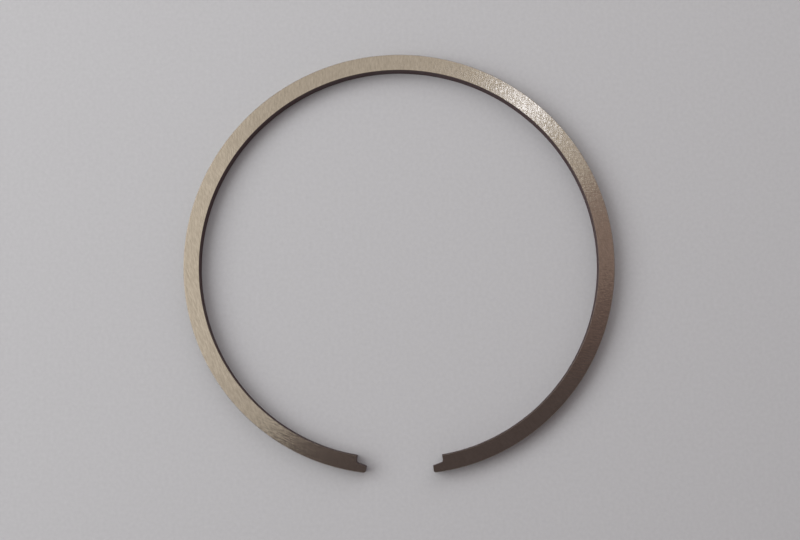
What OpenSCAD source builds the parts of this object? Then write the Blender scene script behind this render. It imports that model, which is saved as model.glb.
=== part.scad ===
// Piston ring of a small two-stroke engine, drawn free, as it lies before it is fitted.
// It lies on its lower side face at z = 0, with the gap towards -Y and its outline centred on the Z axis.

/* [Ring] */
// Bore of the cylinder that the ring is made for
bore_d = 56; // [40:0.5:90]
// Radial wall, from the inner wall to the running face
wall = 2.2; // [1.6:0.1:3.6]
// Axial height, between the two ground side faces
height = 2.5; // [1.2:0.1:4]
// Bevel that breaks each long edge
edge_break = 0.07; // [0.05:0.01:0.25]

/* [Gap] */
// Gap between the tips of the free ring, on the middle line of the wall
free_gap = 9.1; // [5:0.1:14]
// Gap that is left between the tips when the bore closes the ring
closed_gap = 0.3; // [0.1:0.05:0.8]
// Bevel on the outer corner of each tip
tip_break = 0.2; // [0.05:0.05:0.4]

/* [Peg notch] */
// Length of the notch in each tip, along the ring
notch_length = 1.4; // [0.8:0.1:2.4]
// Depth of the notch at the tip, from the inner wall outwards
notch_depth = 1.3; // [0.6:0.05:1.4]
// Slope of the notch's floor, which thins the tongue towards its tip
notch_slope = 14; // [0:1:20]
// Fillet in the notch's corner
notch_fillet = 0.35; // [0.1:0.05:0.5]

/* [Hidden] */
ring_colour = "#7d7468";

// Middle line of the wall when the ring is closed in its bore
closed_r = (bore_d - wall) / 2;
// Length of half that line, which stays the same when the ring springs open
half_length = PI * closed_r - closed_gap / 2;

// Each half is a chain of tangent arcs, from the back of the ring round to a tip
arcs = 8;
last_arc = arcs - 1;
turn_step = 180 / arcs;
// Radii are kept to a tenth of a micrometre, so that neighbouring arcs meet face to face
radius_grain = 1e-4;
// Coarse part of a move from one arc's centre to the next
place_grain = 0.1;

// How far a cut runs past the faces that it goes through
cut_margin = 1;
// Facets in a full turn, where curves are drawn as facets
smooth_turn = 240;

// Thin-ring theory: a ring that presses evenly on its bore is straightest at the back when it is free,
// so its radius there is largest, and falls to the closed radius at the gap. k says how strongly.
function free_r(turn, k) = closed_r * (1 + k * (1 + cos(turn)));

// Radius of arc i, from the turn at its middle
function arc_r(i, k) = to_grain(free_r((i + 0.5) * turn_step, k), radius_grain);
function to_grain(x, grain) = round(x / grain) * grain;

// Length along an arc of radius r for a turn in degrees, and the turn for a length
function length_of(turn, r) = turn * PI / 180 * r;
function turn_of(length, r) = length / r * 180 / PI;

// Turn from the back to the tip: the last arc takes the length that the whole arcs before it leave
function length_before(i, k) = i == 0 ? 0 : length_before(i - 1, k) + length_of(turn_step, arc_r(i - 1, k));
function tip_turn(k) =
    last_arc * turn_step + turn_of(half_length - length_before(last_arc, k), arc_r(last_arc, k));

// Outward direction at a turn from the back, for the half on the +X side
function outward(turn) = [sin(turn), cos(turn)];

// Centre of arc i: each centre lies on the line that the arc before it ends on
function arc_centre(i, k) =
    i == 0 ? [0, 0] : arc_centre(i - 1, k) + (arc_r(i - 1, k) - arc_r(i, k)) * outward(i * turn_step);

function tip_point(k) = arc_centre(last_arc, k) + arc_r(last_arc, k) * outward(tip_turn(k));

// The first guess is the theory's own sum, and one correction brings the tips to the wanted gap
opening = free_gap - closed_gap;
first_spring = opening / (3 * PI * closed_r);
spring = first_spring * opening / (2 * tip_point(first_spring)[0] - closed_gap);

tip = tip_point(spring);
end_turn = tip_turn(spring);
end_r = arc_r(last_arc, spring) + wall / 2;

// Outline of the free ring along Y, from the back to the lowest point beside the bevelled tip
back_y = arc_r(0, spring) + wall / 2;
front_y = (arc_centre(last_arc, spring) + end_r * outward(end_turn - turn_of(tip_break, end_r)))[1];
outline_centre = (back_y + front_y) / 2;

// Section of the wall, with its four long edges broken
module section() {
    half = wall / 2;
    b = edge_break;
    polygon([
        [b - half, 0], [half - b, 0], [half, b], [half, height - b],
        [half - b, height], [b - half, height], [-half, height - b], [-half, b]
    ]);
}

// Moves a shape in the plane by a coarse part and then by the rest, so that no digit of the move is lost
module place(step) {
    coarse = [for (x = step) to_grain(x, place_grain)];
    rest = step - coarse;
    translate([coarse[0], coarse[1], 0]) translate([rest[0], rest[1], 0]) children();
}

// Arc i and all that follow it, each placed from the centre of the one before
module arc_chain(i) {
    r = arc_r(i, spring);
    turn_start = i * turn_step;
    turn_end = i < last_arc ? turn_start + turn_step : end_turn;
    rotate_extrude(start = 90 - turn_end, angle = turn_end - turn_start, $fn = smooth_turn)
        translate([r, 0]) section();
    if (i < last_arc) {
        step = (r - arc_r(i + 1, spring)) * outward(turn_end);
        place(step) arc_chain(i + 1);
    }
}

// Plan of the notch at a tip: X points outwards from the middle line, and Y back along the ring
module notch_plan() {
    inner_x = -wall / 2 - cut_margin;
    floor_x = notch_depth - wall / 2;
    rise = tan(notch_slope);
    // Centre of the fillet, which touches the shoulder and the sloping floor
    fillet_y = notch_length - notch_fillet;
    fillet_x = floor_x - fillet_y * rise - notch_fillet / cos(notch_slope);
    fillet = [fillet_x, fillet_y];
    polygon([
        [inner_x, -cut_margin], [floor_x + cut_margin * rise, -cut_margin],
        fillet + notch_fillet * [cos(notch_slope), sin(notch_slope)],
        fillet, [fillet_x, notch_length], [inner_x, notch_length]
    ]);
    translate(fillet) circle(r = notch_fillet, $fn = smooth_turn);
}

// Plan of the bevel on the outer corner of a tip, in the same frame
module tip_break_plan() {
    corner = wall / 2;
    polygon([
        [corner - tip_break - cut_margin, -cut_margin],
        [corner + cut_margin, -cut_margin],
        [corner + cut_margin, tip_break + cut_margin]
    ]);
}

// Cuts a plan through the whole height at the tip of the +X half
module tip_cut() {
    translate([tip[0], tip[1], -cut_margin])
        rotate([0, 0, 90 - end_turn])
            linear_extrude(height + 2 * cut_margin) children();
}

// Half of the ring, on the +X side
module half_ring() {
    difference() {
        arc_chain(0);
        tip_cut() notch_plan();
        tip_cut() tip_break_plan();
    }
}

// The whole ring: two halves that meet at the back
module piston_ring() {
    color(ring_colour) translate([0, -outline_centre, 0]) {
        half_ring();
        mirror([1, 0, 0]) half_ring();
    }
}

piston_ring();
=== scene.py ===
# Piston ring of a small two-stroke engine, free, lying on pale paper with its gap towards the viewer.
import math

import bmesh
import bpy
from mathutils import Matrix, Vector

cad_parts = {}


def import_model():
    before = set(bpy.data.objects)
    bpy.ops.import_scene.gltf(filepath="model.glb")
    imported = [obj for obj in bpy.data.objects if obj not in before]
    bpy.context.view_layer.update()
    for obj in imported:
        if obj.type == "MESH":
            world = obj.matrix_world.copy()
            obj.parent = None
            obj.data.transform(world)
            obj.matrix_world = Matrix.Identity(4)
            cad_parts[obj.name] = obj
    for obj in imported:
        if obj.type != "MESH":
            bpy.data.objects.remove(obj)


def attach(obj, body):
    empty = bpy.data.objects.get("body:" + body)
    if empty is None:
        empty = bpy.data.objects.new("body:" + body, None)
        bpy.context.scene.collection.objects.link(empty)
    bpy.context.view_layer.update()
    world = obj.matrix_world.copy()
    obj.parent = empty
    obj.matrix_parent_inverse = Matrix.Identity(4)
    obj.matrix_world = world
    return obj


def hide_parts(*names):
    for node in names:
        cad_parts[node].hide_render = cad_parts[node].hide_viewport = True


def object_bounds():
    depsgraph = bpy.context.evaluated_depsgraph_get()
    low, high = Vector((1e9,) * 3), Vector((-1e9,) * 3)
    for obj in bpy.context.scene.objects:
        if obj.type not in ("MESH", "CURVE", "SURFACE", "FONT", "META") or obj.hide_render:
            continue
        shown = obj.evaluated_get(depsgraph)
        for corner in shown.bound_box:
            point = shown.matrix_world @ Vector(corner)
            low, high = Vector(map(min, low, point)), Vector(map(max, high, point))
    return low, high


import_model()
cad_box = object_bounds()

# One millimetre in the scene's metres
MM = 0.001

# Sizes of the ring in millimetres, the same as those of its solid
BORE_D = 56
WALL = 2.2
HEIGHT = 2.5
EDGE_BREAK = 0.07
FREE_GAP = 9.1
CLOSED_GAP = 0.3
TIP_BREAK = 0.2
NOTCH_LENGTH = 1.4
NOTCH_DEPTH = 1.3
NOTCH_SLOPE = math.radians(14)
NOTCH_FILLET = 0.35

# Each half of the ring is a chain of tangent arcs, from the back round to a tip
ARCS = 8
ARC_TURN = math.pi / ARCS
CLOSED_R = (BORE_D - WALL) / 2
HALF_LENGTH = math.pi * CLOSED_R - CLOSED_GAP / 2

# Facets: steps in an arc, in a broken edge and in the notch's fillet
ARC_STEPS = 24
EDGE_STEPS = 4
FILLET_STEPS = 8

# How close to a tip a face lies that the cuts at the tip may reach, and when two points are the same
TIP_REACH = 4
SAME = 1e-4

# A face's rise says how far it looks up or down, from 0 for a wall to 1 for a flat side
SAME_RISE = 0.01
# How squarely the running face looks out of the ring, where 1 is squarely
RUNNING_FACE = 0.9
# Turn from one face to the next past which the edge between them stays sharp
CREASE = math.radians(30)

# Places of the ring's materials
GROUND, EDGE, OXIDE, LAPPED = range(4)

# Half the side of the square of floor in millimetres, wide enough to fill low views
FLOOR_HALF = 1500

# Camera: places in millimetres in the ring's frame, as the picture's angle and framing give them
CAMERA_PLACE = Vector((4.26, -16.83, 212.17))
CAMERA_AIM = Vector((0.163, -0.988, 0))
CAMERA_UP = Vector((0.006, 1, 0))
LENS = 68.86
CLIP_START = 10

# Overhead panels, in millimetres: each is wide across its near edge and long along it
PANEL_WIDTH = 250
PANEL_LENGTH = 2400

# Colours of the room
HORIZON = "#a29d98"
ZENITH = "#6a6167"


# Shape of the free ring

def outward(turn):
    """Direction out of the ring at a turn from its back, for the half on the +X side."""
    return Vector((math.sin(turn), math.cos(turn), 0))


def free_arcs(spring):
    """Centre, radius and turn of each arc of half the free ring.

    A ring that presses evenly on its bore is straightest at the back when it is free."""
    arcs, centre, length_left = [], Vector(), HALF_LENGTH
    for i in range(ARCS):
        radius = CLOSED_R * (1 + spring * (1 + math.cos((i + 0.5) * ARC_TURN)))
        if arcs:
            centre = centre + (arcs[-1][1] - radius) * outward(i * ARC_TURN)
        turn = ARC_TURN if i < ARCS - 1 else length_left / radius
        arcs.append((centre, radius, turn))
        length_left -= radius * turn
    return arcs


def tip_of(arcs):
    """Point on the middle line at the tip, and the turn from the back to it."""
    centre, radius, _ = arcs[-1]
    end_turn = sum(turn for _, _, turn in arcs)
    return centre + radius * outward(end_turn), end_turn


def sprung_arcs():
    """The arcs that leave the wanted gap: the theory's own sum, and one correction."""
    opening = FREE_GAP - CLOSED_GAP
    spring = opening / (3 * math.pi * CLOSED_R)
    tip, _ = tip_of(free_arcs(spring))
    return free_arcs(spring * opening / (2 * tip.x - CLOSED_GAP))


# Mesh of the ring

def with_borders(faces):
    """Faces with their edges and corners, as the cutting operators take them."""
    edges = {edge for face in faces for edge in face.edges}
    verts = {vert for face in faces for vert in face.verts}
    return [*verts, *edges, *faces]


def edges_in(geometry):
    """The edges among the parts that an operator gives back."""
    return [part for part in geometry if isinstance(part, bmesh.types.BMEdge)]


def half_wall(bm, arcs):
    """Wall of half the ring: its section with broken edges, spun along the arcs and closed at the tip."""
    section = bmesh.ops.create_grid(bm, x_segments=1, y_segments=1, size=0.5)["verts"]
    back_r = arcs[0][1]
    stand_up = Matrix(((0, 0, 1, 0), (WALL, 0, 0, back_r), (0, HEIGHT, 0, HEIGHT / 2), (0, 0, 0, 1)))
    bmesh.ops.transform(bm, matrix=stand_up, verts=section)
    bmesh.ops.bevel(bm, geom=section, affect="VERTICES", offset=EDGE_BREAK, offset_type="OFFSET",
                    segments=EDGE_STEPS, profile=0.5, material=-1)
    bmesh.ops.delete(bm, geom=bm.faces[:], context="FACES_ONLY")
    rim = bm.verts[:] + bm.edges[:]
    for centre, _, turn in arcs:
        spun = bmesh.ops.spin(bm, geom=rim, cent=centre, axis=(0, 0, -1), angle=turn, steps=ARC_STEPS)
        rim = spun["geom_last"]
    bmesh.ops.edgeloop_fill(bm, edges=edges_in(rim))


def cut_tip(bm, arcs):
    """Peg notch and outer bevel at the tip of the half."""
    tip, end_turn = tip_of(arcs)
    out = outward(end_turn)
    back = Vector((-out.y, out.x, 0))
    # The notch's two walls, each as a point on it and its direction into the metal
    shoulder = (tip + back * NOTCH_LENGTH, back)
    into_floor = out * math.cos(NOTCH_SLOPE) + back * math.sin(NOTCH_SLOPE)
    floor = (tip + out * (NOTCH_DEPTH - WALL / 2), into_floor)

    def faces_near():
        return [face for face in bm.faces if (face.calc_center_median() - tip).length < TIP_REACH]

    def before(face, wall):
        return (face.calc_center_median() - wall[0]).dot(wall[1]) < -SAME

    def lies_on(edge, wall):
        return all(abs((vert.co - wall[0]).dot(wall[1])) < SAME for vert in edge.verts)

    # Outer bevel, cut at 45 degrees through the whole height
    bevel = bmesh.ops.bisect_plane(bm, geom=with_borders(faces_near()), dist=SAME, clear_outer=True,
                                   plane_co=tip + out * (WALL / 2 - TIP_BREAK), plane_no=out - back)
    bmesh.ops.edgeloop_fill(bm, edges=edges_in(bevel["geom_cut"]))

    # Notch: the tip is cut along the notch's two walls, and what lies inside them is taken out
    waste = faces_near()
    for plane, normal in (shoulder, floor):
        bmesh.ops.bisect_plane(bm, geom=with_borders(waste), dist=SAME, plane_co=plane, plane_no=normal)
        waste = [face for face in faces_near() if before(face, shoulder)]
    waste = [face for face in waste if before(face, floor)]
    bmesh.ops.delete(bm, geom=waste, context="FACES")
    open_edges = [edge for edge in bm.edges if edge.is_boundary and edge.verts[0].co.x > SAME]
    walls = [[edge for edge in open_edges if lies_on(edge, wall)] for wall in (shoulder, floor)]
    corners = [{vert for edge in wall for vert in edge.verts} for wall in walls]
    corner = bmesh.ops.contextual_create(bm, geom=list(corners[0] & corners[1]))["edges"]
    for wall in walls:
        bmesh.ops.edgeloop_fill(bm, edges=wall + corner)
    # The corner is wider than a right angle, so the fillet starts closer to it than its own radius
    reach = NOTCH_FILLET * math.tan((math.pi / 2 - NOTCH_SLOPE) / 2)
    bmesh.ops.bevel(bm, geom=corner, affect="EDGES", offset=reach, offset_type="OFFSET",
                    segments=FILLET_STEPS, profile=0.5, material=-1)


def finish_of(face):
    """Material of a face.

    The flat sides are ground, the running face and its edges are lapped, the other broken edges are tumbled,
    and the rest keeps its oxide."""
    rise = abs(face.normal.z)
    if rise > 1 - SAME_RISE:
        return GROUND
    outwards = face.normal.dot(face.calc_center_median().normalized())
    if rise > SAME_RISE:
        return LAPPED if outwards > 0 else EDGE
    return LAPPED if outwards > RUNNING_FACE else OXIDE


def ring_mesh():
    """The ring as one closed mesh, with flat sides, smooth walls and crisp ends."""
    arcs = sprung_arcs()
    bm = bmesh.new()
    half_wall(bm, arcs)
    cut_tip(bm, arcs)
    bmesh.ops.mirror(bm, geom=bm.verts[:] + bm.edges[:] + bm.faces[:], axis="X", merge_dist=SAME)
    bmesh.ops.remove_doubles(bm, verts=bm.verts[:], dist=SAME)
    bmesh.ops.recalc_face_normals(bm, faces=bm.faces[:])
    for face in bm.faces:
        face.smooth = True
        face.material_index = finish_of(face)
    # A crease runs where a flat side meets its broken edge, so that the side shades flat
    for edge in bm.edges:
        rises = [abs(face.normal.z) for face in edge.link_faces]
        edge.smooth = max(rises) - min(rises) < SAME_RISE and edge.calc_face_angle() < CREASE
    # The back of the ring lies at the back of the solid's box
    back_y = cad_box[1].y / MM - (arcs[0][1] + WALL / 2)
    bmesh.ops.translate(bm, verts=bm.verts[:], vec=(0, back_y, 0))
    bmesh.ops.scale(bm, verts=bm.verts[:], vec=(MM, MM, MM))
    mesh = bpy.data.meshes.new("ring")
    bm.to_mesh(mesh)
    bm.free()
    return mesh


# Materials

def linear(hex_colour):
    """sRGB hex colour as linear red, green, blue and alpha."""
    parts = [int(hex_colour[i:i + 2], 16) / 255 for i in (1, 3, 5)]
    return (*[c / 12.92 if c <= 0.04045 else ((c + 0.055) / 1.055) ** 2.4 for c in parts], 1)


def add(tree, kind, inputs, **settings):
    """Adds a node. Each input is a value, or an output of another node to link."""
    node = tree.nodes.new(kind)
    for name, value in settings.items():
        setattr(node, name, value)
    for key, value in inputs.items():
        if isinstance(value, bpy.types.NodeSocket):
            tree.links.new(value, node.inputs[key])
        else:
            node.inputs[key].default_value = value
    return node


def new_material(name):
    """A material with its node tree, its shader and the object's own coordinates."""
    material = bpy.data.materials.new(name)
    material.use_nodes = True
    tree = material.node_tree
    place = add(tree, "ShaderNodeTexCoord", {}).outputs["Object"]
    return material, tree, tree.nodes["Principled BSDF"], place


def ground_iron():
    """Cast iron, ground flat: a dull warm grey mirror that glints in short fine scratches."""
    material, tree, shader, place = new_material("ground_cast_iron")
    # A cup wheel leaves scratches in wide arcs: they are laid out by the turn about a point beside the
    # ring, as a length along the arc, and by the distance from that point
    wheel_point = (70 * MM, 62 * MM, 0)
    wheel_r = 110 * MM
    wheel = add(tree, "ShaderNodeVectorMath", {0: place, 1: wheel_point}, operation="SUBTRACT")
    from_wheel = wheel.outputs["Vector"]
    axes = add(tree, "ShaderNodeSeparateXYZ", {"Vector": from_wheel}).outputs
    turn = add(tree, "ShaderNodeMath", {0: axes["Y"], 1: axes["X"]}, operation="ARCTAN2").outputs[0]
    along = add(tree, "ShaderNodeMath", {0: turn, 1: wheel_r}, operation="MULTIPLY").outputs[0]
    reach = add(tree, "ShaderNodeVectorMath", {0: from_wheel}, operation="LENGTH").outputs["Value"]
    arcs = add(tree, "ShaderNodeCombineXYZ", {"X": along, "Y": reach, "Z": axes["Z"]}).outputs["Vector"]
    # Two passes cross each other. Such scratches are about 0.02 mm wide, and are drawn coarser here, so
    # that they show. The depth is in millimetres.
    length, width, depth = 0.7 * MM, 0.17 * MM, 0.004
    relief = 0
    for lean in (-19, 19):
        lay = add(tree, "ShaderNodeMapping",
                  {"Vector": arcs, "Rotation": (0, 0, math.radians(lean)), "Scale": (length, width, length)},
                  vector_type="TEXTURE")
        lines = add(tree, "ShaderNodeTexNoise",
                    {"Vector": lay.outputs["Vector"], "Scale": 1, "Detail": 0}).outputs["Fac"]
        relief = add(tree, "ShaderNodeMath", {0: lines, 1: depth, 2: relief},
                     operation="MULTIPLY_ADD").outputs[0]
    bump = add(tree, "ShaderNodeBump", {"Height": relief, "Distance": MM, "Strength": 1})
    # The second pass also varies the tint and the sheen
    tint = add(tree, "ShaderNodeMix", {"Factor": lines, "A": linear("#aea594"), "B": linear("#978e7e")},
               data_type="RGBA")
    sheen = add(tree, "ShaderNodeMapRange", {"Value": lines, "To Min": 0.1, "To Max": 0.14})
    shader.inputs["Metallic"].default_value = 1
    tree.links.new(sheen.outputs["Result"], shader.inputs["Roughness"])
    tree.links.new(tint.outputs["Result"], shader.inputs["Base Color"])
    tree.links.new(bump.outputs["Normal"], shader.inputs["Normal"])
    return material


def tumbled_edge():
    """Edges broken by tumbling: the same iron, darker and matt, with a fine grain."""
    material, tree, shader, place = new_material("tumbled_cast_iron")
    grain_size = 0.15 * MM
    lay = add(tree, "ShaderNodeMapping", {"Vector": place, "Scale": (grain_size, grain_size, grain_size)},
              vector_type="TEXTURE")
    grain = add(tree, "ShaderNodeTexNoise",
                {"Vector": lay.outputs["Vector"], "Scale": 1, "Detail": 2}).outputs["Fac"]
    tint = add(tree, "ShaderNodeMix", {"Factor": grain, "A": linear("#5a5049"), "B": linear("#6e645b")},
               data_type="RGBA")
    sheen = add(tree, "ShaderNodeMapRange", {"Value": grain, "To Min": 0.35, "To Max": 0.55})
    shader.inputs["Metallic"].default_value = 1
    tree.links.new(sheen.outputs["Result"], shader.inputs["Roughness"])
    tree.links.new(tint.outputs["Result"], shader.inputs["Base Color"])
    return material


def dark_oxide():
    """Iron with the dark skin of heat setting and phosphating: a matt, nearly black purple brown."""
    material, tree, shader, place = new_material("phosphated_iron")
    width, height, depth = 0.4 * MM, 0.12 * MM, 0.02 * MM
    lay = add(tree, "ShaderNodeMapping", {"Vector": place, "Scale": (width, width, height)},
              vector_type="TEXTURE")
    grain = add(tree, "ShaderNodeTexNoise",
                {"Vector": lay.outputs["Vector"], "Scale": 1, "Detail": 3}).outputs["Fac"]
    tint = add(tree, "ShaderNodeMix", {"Factor": grain, "A": linear("#362122"), "B": linear("#482d2e")},
               data_type="RGBA")
    sheen = add(tree, "ShaderNodeMapRange", {"Value": grain, "To Min": 0.45, "To Max": 0.65})
    bump = add(tree, "ShaderNodeBump", {"Height": grain, "Distance": depth, "Strength": 1})
    shader.inputs["Specular IOR Level"].default_value = 0.25
    tree.links.new(sheen.outputs["Result"], shader.inputs["Roughness"])
    tree.links.new(tint.outputs["Result"], shader.inputs["Base Color"])
    tree.links.new(bump.outputs["Normal"], shader.inputs["Normal"])
    return material


def lapped_iron():
    """Running face, turned and lapped to its bore: satin grey, with fine lines round the ring."""
    material, tree, shader, place = new_material("lapped_cast_iron")
    length, width, depth = 12 * MM, 0.09 * MM, 0.008 * MM
    lay = add(tree, "ShaderNodeMapping", {"Vector": place, "Scale": (length, length, width)},
              vector_type="TEXTURE")
    lines = add(tree, "ShaderNodeTexNoise",
                {"Vector": lay.outputs["Vector"], "Scale": 1, "Detail": 3}).outputs["Fac"]
    tint = add(tree, "ShaderNodeMix", {"Factor": lines, "A": linear("#8f8880"), "B": linear("#a8a198")},
               data_type="RGBA")
    sheen = add(tree, "ShaderNodeMapRange", {"Value": lines, "To Min": 0.26, "To Max": 0.42})
    bump = add(tree, "ShaderNodeBump", {"Height": lines, "Distance": depth, "Strength": 1})
    shader.inputs["Metallic"].default_value = 1
    tree.links.new(sheen.outputs["Result"], shader.inputs["Roughness"])
    tree.links.new(tint.outputs["Result"], shader.inputs["Base Color"])
    tree.links.new(bump.outputs["Normal"], shader.inputs["Normal"])
    return material


def pale_paper():
    """Uncoated paper: matt and pale, with a faint cloudy formation."""
    material, tree, shader, place = new_material("pale_paper")
    cloud_size = 0.5 * MM
    lay = add(tree, "ShaderNodeMapping", {"Vector": place, "Scale": (cloud_size, cloud_size, cloud_size)},
              vector_type="TEXTURE")
    clouds = add(tree, "ShaderNodeTexNoise",
                 {"Vector": lay.outputs["Vector"], "Scale": 1, "Detail": 4}).outputs["Fac"]
    tint = add(tree, "ShaderNodeMix", {"Factor": clouds, "A": linear("#bcbdbf"), "B": linear("#c9cacc")},
               data_type="RGBA")
    shader.inputs["Roughness"].default_value = 0.9
    shader.inputs["Specular IOR Level"].default_value = 0.2
    tree.links.new(tint.outputs["Result"], shader.inputs["Base Color"])
    return material


# Ring and floor

def show(name, mesh, materials):
    """An object at the origin with its materials."""
    thing = bpy.data.objects.new(name, mesh)
    for material in materials:
        mesh.materials.append(material)
    bpy.context.scene.collection.objects.link(thing)
    return thing


def floor_mesh():
    """A square of floor."""
    bm = bmesh.new()
    bmesh.ops.create_grid(bm, x_segments=1, y_segments=1, size=FLOOR_HALF * MM)
    mesh = bpy.data.meshes.new("floor")
    bm.to_mesh(mesh)
    bm.free()
    return mesh


ring = show("ring", ring_mesh(), [ground_iron(), tumbled_edge(), dark_oxide(), lapped_iron()])
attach(ring, "root")
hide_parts("piston_ring")
floor = show("floor", floor_mesh(), [pale_paper()])


# Camera

def facing(place, aim, up):
    """Matrix of something at a place that looks at a point, both in millimetres."""
    forward = (aim - place).normalized()
    right = forward.cross(up).normalized()
    turn = Matrix((right, right.cross(forward), -forward)).transposed()
    return Matrix.Translation(place * MM) @ turn.to_4x4()


camera = bpy.data.objects.new("camera", bpy.data.cameras.new("camera"))
camera.data.lens = LENS
camera.data.clip_start = CLIP_START * MM
camera.matrix_world = facing(CAMERA_PLACE, CAMERA_AIM, CAMERA_UP)
bpy.context.scene.collection.objects.link(camera)
bpy.context.scene.camera = camera


# Light

def softbox(name, place, aim, up, size, level, colour="#ffffff"):
    """A panel of light in millimetres. Level is its brightness, where 1 is white."""
    lamp = bpy.data.lights.new(name, "AREA")
    lamp.shape = "RECTANGLE"
    lamp.size, lamp.size_y = (side * MM for side in size)
    lamp.energy = math.pi * lamp.size * lamp.size_y * level
    lamp.color = linear(colour)[:3]
    panel = bpy.data.objects.new(name, lamp)
    panel.matrix_world = facing(Vector(place), Vector(aim), Vector(up))
    bpy.context.scene.collection.objects.link(panel)


# Three overhead panels hang over the ring's upper left. Their near edges start together at the left and fan
# out to the right, so that the reflection on the ring fades slowly there, into the dim room past them.
# The lean of a panel's near edge is in degrees, and the edge is given by its distance from the ring's axis.
for name, height, lean, edge, level, colour in (("far_panel", 280, 13.3, -21.5, 0.08, "#ffc6bc"),
                                                ("wide_panel", 260, 23.2, -12.8, 0.24, "#ffeae6"),
                                                ("main_panel", 240, 39.1, 0.8, 0.55, "#f3ffff")):
    across = Vector((-math.sin(math.radians(lean)), math.cos(math.radians(lean)), 0))
    middle = across * (edge + PANEL_WIDTH / 2)
    softbox(name, place=middle + Vector((0, 0, height)), aim=middle, up=across,
            size=(PANEL_LENGTH, PANEL_WIDTH), level=level, colour=colour)

# A large key light at the left, a soft panel behind the ring, another that brightens the left of the ring,
# and a small cool lamp that the scratches at the upper right glint in
softbox("key_panel", place=(-350, 70, 380), aim=(0, 0, 0), up=(0, 0, 1), size=(420, 420), level=2.42)
softbox("back_panel", place=(-20, 360, 400), aim=(0, 0, 0), up=(0, 0, 1), size=(250, 250), level=0.73)
softbox("left_panel", place=(-210, 80, 600), aim=(-210, 80, 0), up=(0, 1, 0), size=(220, 200), level=0.31)
softbox("glint_lamp", place=(43, 94, 400), aim=(17, 22, 0), up=(0, 1, 0), size=(14, 14), level=7,
        colour="#d3e0ff")

# The room is dim overhead and brighter towards the horizon
world = bpy.data.worlds.new("studio")
world.use_nodes = True
sky = world.node_tree
direction = add(sky, "ShaderNodeTexCoord", {}).outputs["Generated"]
rise = add(sky, "ShaderNodeSeparateXYZ", {"Vector": direction}).outputs["Z"]
room = add(sky, "ShaderNodeMix", {"Factor": rise, "A": linear(HORIZON), "B": linear(ZENITH)},
           data_type="RGBA")
sky.links.new(room.outputs["Result"], sky.nodes["Background"].inputs["Color"])
bpy.context.scene.world = world
bpy.context.scene.view_settings.view_transform = "Standard"
